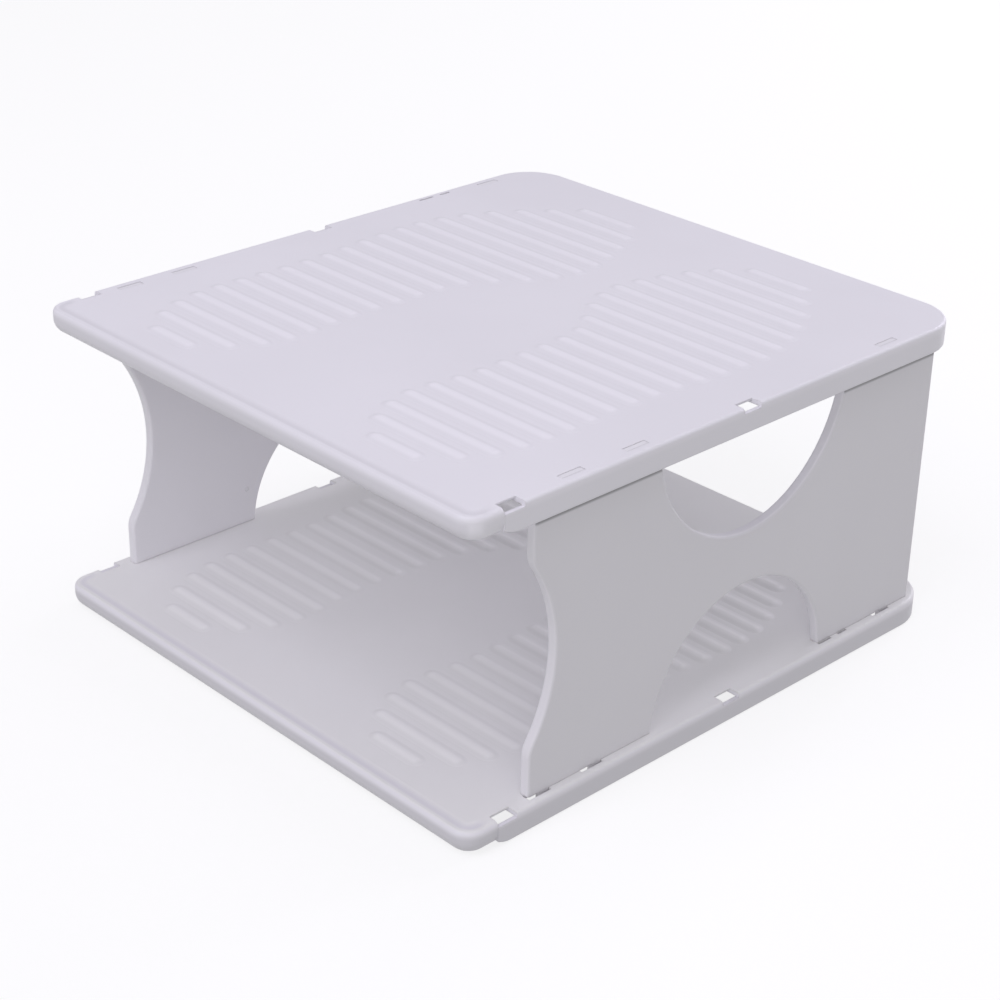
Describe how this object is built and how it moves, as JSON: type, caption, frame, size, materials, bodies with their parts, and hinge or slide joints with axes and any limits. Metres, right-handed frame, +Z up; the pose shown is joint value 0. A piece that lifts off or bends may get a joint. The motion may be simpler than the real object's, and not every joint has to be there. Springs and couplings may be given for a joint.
{
  "type": "two-tier laptop stand",
  "caption": "Two-tier ventilated laptop stand: flat ribbed shelves joined by hook-in side walls with half-round cut-outs.",
  "frame": {"origin": "centre of the footprint, on the surface that the stand rests on", "axes": "+X to the user's right along the open front edge, +Y from the open front to the open back, +Z up"},
  "size_m": [0.3, 0.324, 0.1629],
  "materials": {
    "shelf_plastic": "satin moulded, cool white",
    "wall_plastic": "satin moulded, cool white"
  },
  "bodies": {
    "base": {"bottom_shelf": "shelf_plastic"},
    "right_side": {"right_wall": "wall_plastic"},
    "left_side": {"left_wall": "wall_plastic"},
    "deck": {"top_shelf": "shelf_plastic"}
  },
  "joints": [
    {"name": "right_wall_slide", "type": "slide", "parent": "base", "child": "right_side", "axis": [0, -1, 0], "range_m": [0, 0.008]},
    {"name": "left_wall_slide", "type": "slide", "parent": "base", "child": "left_side", "axis": [0, -1, 0], "range_m": [0, 0.008]},
    {"name": "top_shelf_lift", "type": "slide", "parent": "right_side", "child": "deck", "axis": [0, 0, 1], "range_m": [0, 0.03]}
  ],
  "couplings": [
    {"joint": "left_wall_slide", "follows": "right_wall_slide", "ratio": 1}
  ]
}
